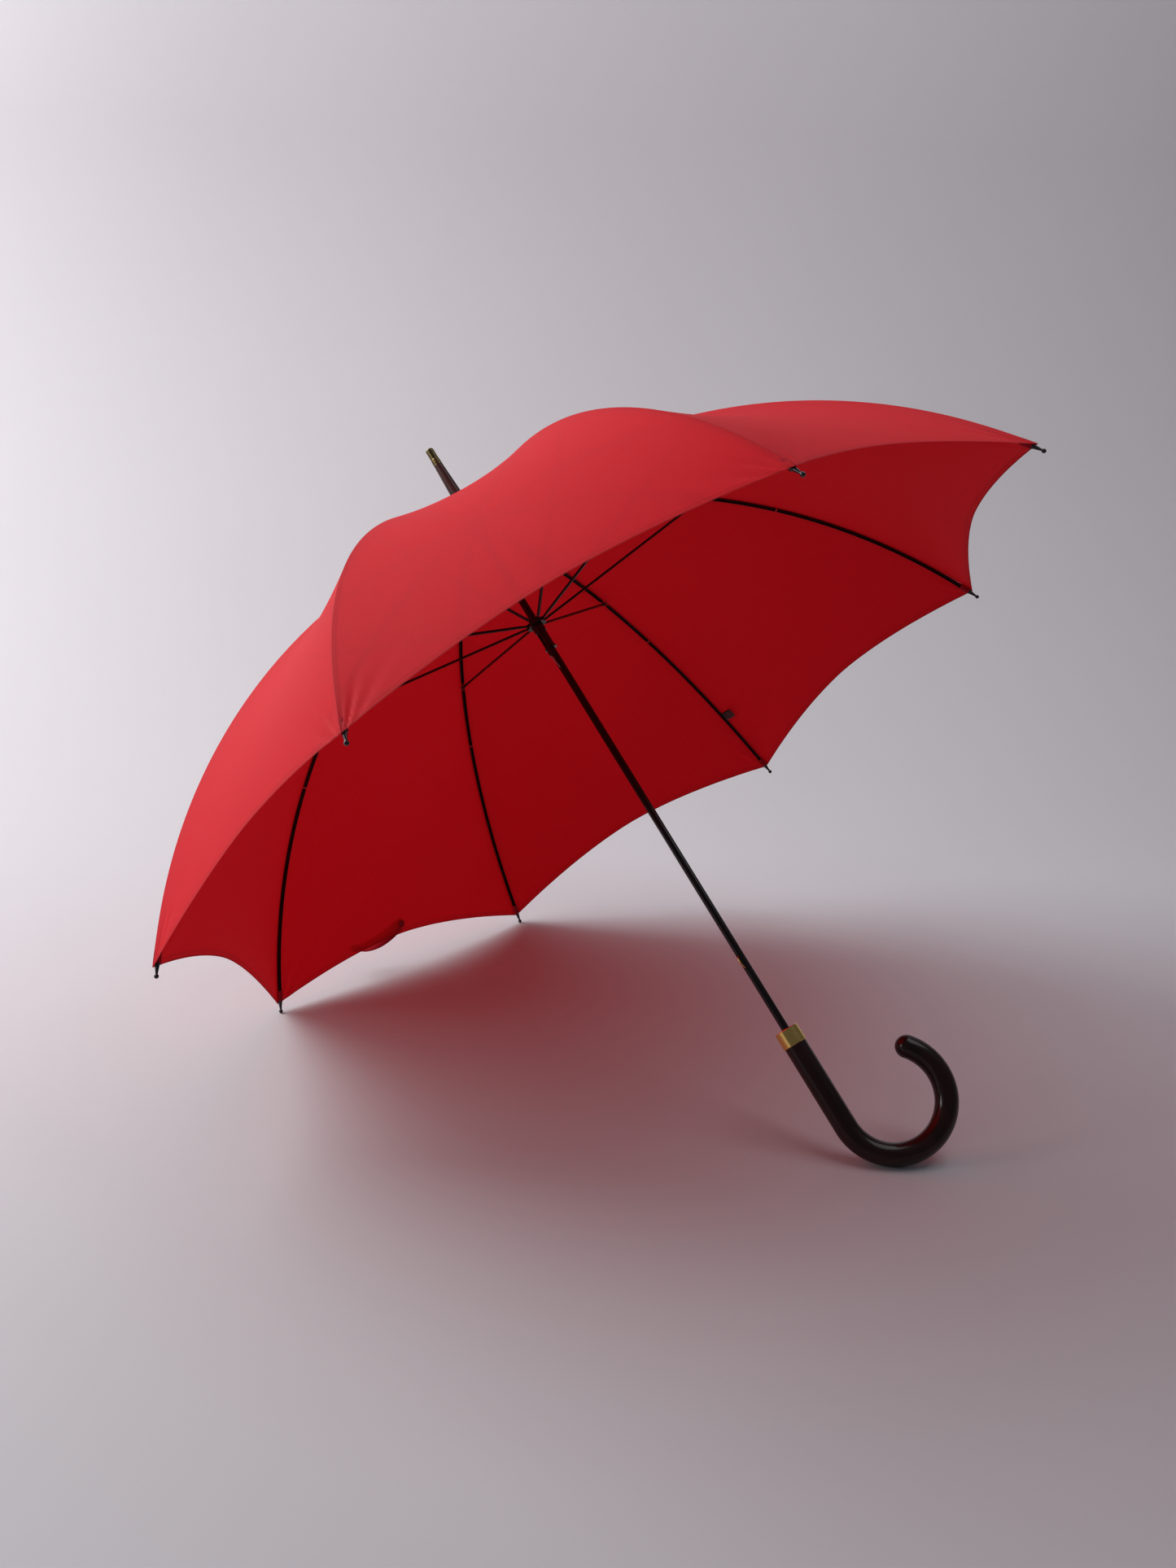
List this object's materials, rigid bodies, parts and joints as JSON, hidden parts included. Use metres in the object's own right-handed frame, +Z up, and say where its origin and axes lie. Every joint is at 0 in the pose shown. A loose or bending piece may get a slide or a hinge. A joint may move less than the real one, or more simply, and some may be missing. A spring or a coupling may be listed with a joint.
{
  "type": "stick umbrella",
  "caption": "Stick umbrella with a scalloped cloth canopy on curved channel ribs, a sliding runner with stretchers, a tapered ferrule and a bent crook handle, open and at rest on its rib tips.",
  "frame": {"origin": "centre of the footprint of the open umbrella, on the floor it rests on", "axes": "+Z up from the floor; the shaft lies in the XZ plane, leaning so that the ferrule points to -X and up and the crook lies at +X; +Y across the canopy"},
  "size_m": [0.7388, 0.9282, 0.6902],
  "materials": {
    "frame_steel": "black enamel, semi-gloss",
    "shaft_black": "black enamel, gloss",
    "black_fitting": "black enamel, semi-gloss",
    "bright_steel": "bright, lightly worn",
    "tip_metal": "black nickel, gloss",
    "canopy_red": "fine plain weave, matt with a slight sheen",
    "snap_black": "black enamel",
    "label_cloth": "black satin ribbon",
    "cherry_lacquer": "dark cherry stain under gloss lacquer",
    "polished_brass": "polished",
    "antique_brass": "antique, satin"
  },
  "bodies": {
    "frame": {"shaft": "shaft_black", "crown_hub": "black_fitting", "crown_wire": "bright_steel", "crown_pin": "bright_steel", "crown_rosette": "canopy_red", "ferrule": "cherry_lacquer", "ferrule_cap": "antique_brass", "runner_stop": "bright_steel", "handle": "cherry_lacquer", "handle_cup": "polished_brass", "canopy": "canopy_red", "closure_strap": "canopy_red", "snap_stud": "snap_black", "snap_socket": "snap_black"},
    "rib_1": {"rib_1": "frame_steel", "rib_rivet_1": "bright_steel"},
    "rib_outer_1": {"rib_outer_1": "frame_steel", "rib_tip_1": "tip_metal"},
    "stretcher_1": {"stretcher_1": "frame_steel"},
    "rib_2": {"rib_2": "frame_steel", "rib_rivet_2": "bright_steel"},
    "rib_outer_2": {"rib_outer_2": "frame_steel", "rib_tip_2": "tip_metal"},
    "stretcher_2": {"stretcher_2": "frame_steel"},
    "rib_3": {"rib_3": "frame_steel", "rib_rivet_3": "bright_steel"},
    "rib_outer_3": {"rib_outer_3": "frame_steel", "rib_tip_3": "tip_metal", "care_tab": "label_cloth"},
    "stretcher_3": {"stretcher_3": "frame_steel"},
    "rib_4": {"rib_4": "frame_steel", "rib_rivet_4": "bright_steel"},
    "rib_outer_4": {"rib_outer_4": "frame_steel", "rib_tip_4": "tip_metal"},
    "stretcher_4": {"stretcher_4": "frame_steel"},
    "rib_5": {"rib_5": "frame_steel", "rib_rivet_5": "bright_steel"},
    "rib_outer_5": {"rib_outer_5": "frame_steel", "rib_tip_5": "tip_metal"},
    "stretcher_5": {"stretcher_5": "frame_steel"},
    "rib_6": {"rib_6": "frame_steel", "rib_rivet_6": "bright_steel"},
    "rib_outer_6": {"rib_outer_6": "frame_steel", "rib_tip_6": "tip_metal"},
    "stretcher_6": {"stretcher_6": "frame_steel"},
    "rib_7": {"rib_7": "frame_steel", "rib_rivet_7": "bright_steel"},
    "rib_outer_7": {"rib_outer_7": "frame_steel", "rib_tip_7": "tip_metal"},
    "stretcher_7": {"stretcher_7": "frame_steel"},
    "rib_8": {"rib_8": "frame_steel", "rib_rivet_8": "bright_steel"},
    "rib_outer_8": {"rib_outer_8": "frame_steel", "rib_tip_8": "tip_metal"},
    "stretcher_8": {"stretcher_8": "frame_steel"},
    "runner": {"runner": "black_fitting", "runner_wire": "bright_steel"},
    "top_spring": {"top_spring": "bright_steel"},
    "bottom_spring": {"bottom_spring": "polished_brass"}
  },
  "joints": [
    {"name": "canopy_fold", "type": "hinge", "parent": "frame", "child": "rib_1", "pos_m": [-0.21592, 0.00344, 0.54959], "axis": [-0.2708, 0.9239, -0.2704], "range_deg": [0, 73], "deforming": ["canopy", "closure_strap", "top_spring", "bottom_spring"]},
    {"name": "rib_2_fold", "type": "hinge", "parent": "frame", "child": "rib_2", "pos_m": [-0.21936, 0.00831, 0.54615], "axis": [-0.6538, 0.3827, -0.6528], "range_deg": [0, 73]},
    {"name": "rib_3_fold", "type": "hinge", "parent": "frame", "child": "rib_3", "pos_m": [-0.22424, 0.00831, 0.54128], "axis": [-0.6538, -0.3827, -0.6528], "range_deg": [0, 73]},
    {"name": "rib_4_fold", "type": "hinge", "parent": "frame", "child": "rib_4", "pos_m": [-0.22769, 0.00344, 0.53784], "axis": [-0.2708, -0.9239, -0.2704], "range_deg": [0, 73]},
    {"name": "rib_5_fold", "type": "hinge", "parent": "frame", "child": "rib_5", "pos_m": [-0.22769, -0.00344, 0.53784], "axis": [0.2708, -0.9239, 0.2704], "range_deg": [0, 73]},
    {"name": "rib_6_fold", "type": "hinge", "parent": "frame", "child": "rib_6", "pos_m": [-0.22424, -0.00831, 0.54128], "axis": [0.6538, -0.3827, 0.6528], "range_deg": [0, 73]},
    {"name": "rib_7_fold", "type": "hinge", "parent": "frame", "child": "rib_7", "pos_m": [-0.21936, -0.00831, 0.54615], "axis": [0.6538, 0.3827, 0.6528], "range_deg": [0, 73]},
    {"name": "rib_8_fold", "type": "hinge", "parent": "frame", "child": "rib_8", "pos_m": [-0.21592, -0.00344, 0.54959], "axis": [0.2708, 0.9239, 0.2704], "range_deg": [0, 73]},
    {"name": "rib_1_straighten", "type": "hinge", "parent": "rib_1", "child": "rib_outer_1", "pos_m": [-0.00605, 0.0995, 0.66761], "axis": [-0.2708, 0.9239, -0.2704], "range_deg": [-26.5, 0]},
    {"name": "stretcher_1_hinge", "type": "hinge", "parent": "rib_1", "child": "stretcher_1", "pos_m": [-0.00605, 0.0995, 0.66761], "axis": [-0.2708, 0.9239, -0.2704], "range_deg": [-146, 0]},
    {"name": "rib_2_straighten", "type": "hinge", "parent": "rib_2", "child": "rib_outer_2", "pos_m": [-0.10562, 0.24021, 0.56818], "axis": [-0.6538, 0.3827, -0.6528], "range_deg": [-26.5, 0]},
    {"name": "stretcher_2_hinge", "type": "hinge", "parent": "rib_2", "child": "stretcher_2", "pos_m": [-0.10562, 0.24021, 0.56818], "axis": [-0.6538, 0.3827, -0.6528], "range_deg": [-146, 0]},
    {"name": "rib_3_straighten", "type": "hinge", "parent": "rib_3", "child": "rib_outer_3", "pos_m": [-0.24644, 0.24021, 0.42758], "axis": [-0.6538, -0.3827, -0.6528], "range_deg": [-26.5, 0]},
    {"name": "stretcher_3_hinge", "type": "hinge", "parent": "rib_3", "child": "stretcher_3", "pos_m": [-0.24644, 0.24021, 0.42758], "axis": [-0.6538, -0.3827, -0.6528], "range_deg": [-146, 0]},
    {"name": "rib_4_straighten", "type": "hinge", "parent": "rib_4", "child": "rib_outer_4", "pos_m": [-0.34601, 0.0995, 0.32815], "axis": [-0.2708, -0.9239, -0.2704], "range_deg": [-26.5, 0]},
    {"name": "stretcher_4_hinge", "type": "hinge", "parent": "rib_4", "child": "stretcher_4", "pos_m": [-0.34601, 0.0995, 0.32815], "axis": [-0.2708, -0.9239, -0.2704], "range_deg": [-146, 0]},
    {"name": "rib_5_straighten", "type": "hinge", "parent": "rib_5", "child": "rib_outer_5", "pos_m": [-0.34601, -0.0995, 0.32815], "axis": [0.2708, -0.9239, 0.2704], "range_deg": [-26.5, 0]},
    {"name": "stretcher_5_hinge", "type": "hinge", "parent": "rib_5", "child": "stretcher_5", "pos_m": [-0.34601, -0.0995, 0.32815], "axis": [0.2708, -0.9239, 0.2704], "range_deg": [-146, 0]},
    {"name": "rib_6_straighten", "type": "hinge", "parent": "rib_6", "child": "rib_outer_6", "pos_m": [-0.24644, -0.24021, 0.42758], "axis": [0.6538, -0.3827, 0.6528], "range_deg": [-26.5, 0]},
    {"name": "stretcher_6_hinge", "type": "hinge", "parent": "rib_6", "child": "stretcher_6", "pos_m": [-0.24644, -0.24021, 0.42758], "axis": [0.6538, -0.3827, 0.6528], "range_deg": [-146, 0]},
    {"name": "rib_7_straighten", "type": "hinge", "parent": "rib_7", "child": "rib_outer_7", "pos_m": [-0.10562, -0.24021, 0.56818], "axis": [0.6538, 0.3827, 0.6528], "range_deg": [-26.5, 0]},
    {"name": "stretcher_7_hinge", "type": "hinge", "parent": "rib_7", "child": "stretcher_7", "pos_m": [-0.10562, -0.24021, 0.56818], "axis": [0.6538, 0.3827, 0.6528], "range_deg": [-146, 0]},
    {"name": "rib_8_straighten", "type": "hinge", "parent": "rib_8", "child": "rib_outer_8", "pos_m": [-0.00605, -0.0995, 0.66761], "axis": [0.2708, 0.9239, 0.2704], "range_deg": [-26.5, 0]},
    {"name": "stretcher_8_hinge", "type": "hinge", "parent": "rib_8", "child": "stretcher_8", "pos_m": [-0.00605, -0.0995, 0.66761], "axis": [0.2708, 0.9239, 0.2704], "range_deg": [-146, 0]},
    {"name": "runner_hinge", "type": "hinge", "parent": "stretcher_1", "child": "runner", "pos_m": [-0.12437, 0.00344, 0.45792], "axis": [-0.2708, 0.9239, -0.2704], "range_deg": [0, 73]},
    {"name": "top_spring_press", "type": "hinge", "parent": "frame", "child": "top_spring", "pos_m": [-0.07528, -0.0022, 0.39685], "axis": [-0.707, 0.0436, -0.7059], "range_deg": [0, 4.5], "stiffness_Nm_per_rad": 1, "springref_deg": -2.86},
    {"name": "bottom_spring_press", "type": "hinge", "parent": "frame", "child": "bottom_spring", "pos_m": [0.18121, -0.0022, 0.13998], "axis": [-0.707, 0.0436, -0.7059], "range_deg": [0, 4.5], "stiffness_Nm_per_rad": 1, "springref_deg": -2.86}
  ],
  "couplings": [
    {"joint": "rib_2_fold", "follows": "canopy_fold", "ratio": 1},
    {"joint": "rib_3_fold", "follows": "canopy_fold", "ratio": 1},
    {"joint": "rib_4_fold", "follows": "canopy_fold", "ratio": 1},
    {"joint": "rib_5_fold", "follows": "canopy_fold", "ratio": 1},
    {"joint": "rib_6_fold", "follows": "canopy_fold", "ratio": 1},
    {"joint": "rib_7_fold", "follows": "canopy_fold", "ratio": 1},
    {"joint": "rib_8_fold", "follows": "canopy_fold", "ratio": 1},
    {"joint": "rib_1_straighten", "follows": "canopy_fold", "ratio": -0.36274},
    {"joint": "stretcher_1_hinge", "follows": "canopy_fold", "ratio": -2},
    {"joint": "rib_2_straighten", "follows": "canopy_fold", "ratio": -0.36274},
    {"joint": "stretcher_2_hinge", "follows": "canopy_fold", "ratio": -2},
    {"joint": "rib_3_straighten", "follows": "canopy_fold", "ratio": -0.36274},
    {"joint": "stretcher_3_hinge", "follows": "canopy_fold", "ratio": -2},
    {"joint": "rib_4_straighten", "follows": "canopy_fold", "ratio": -0.36274},
    {"joint": "stretcher_4_hinge", "follows": "canopy_fold", "ratio": -2},
    {"joint": "rib_5_straighten", "follows": "canopy_fold", "ratio": -0.36274},
    {"joint": "stretcher_5_hinge", "follows": "canopy_fold", "ratio": -2},
    {"joint": "rib_6_straighten", "follows": "canopy_fold", "ratio": -0.36274},
    {"joint": "stretcher_6_hinge", "follows": "canopy_fold", "ratio": -2},
    {"joint": "rib_7_straighten", "follows": "canopy_fold", "ratio": -0.36274},
    {"joint": "stretcher_7_hinge", "follows": "canopy_fold", "ratio": -2},
    {"joint": "rib_8_straighten", "follows": "canopy_fold", "ratio": -0.36274},
    {"joint": "stretcher_8_hinge", "follows": "canopy_fold", "ratio": -2},
    {"joint": "runner_hinge", "follows": "canopy_fold", "ratio": 1}
  ]
}
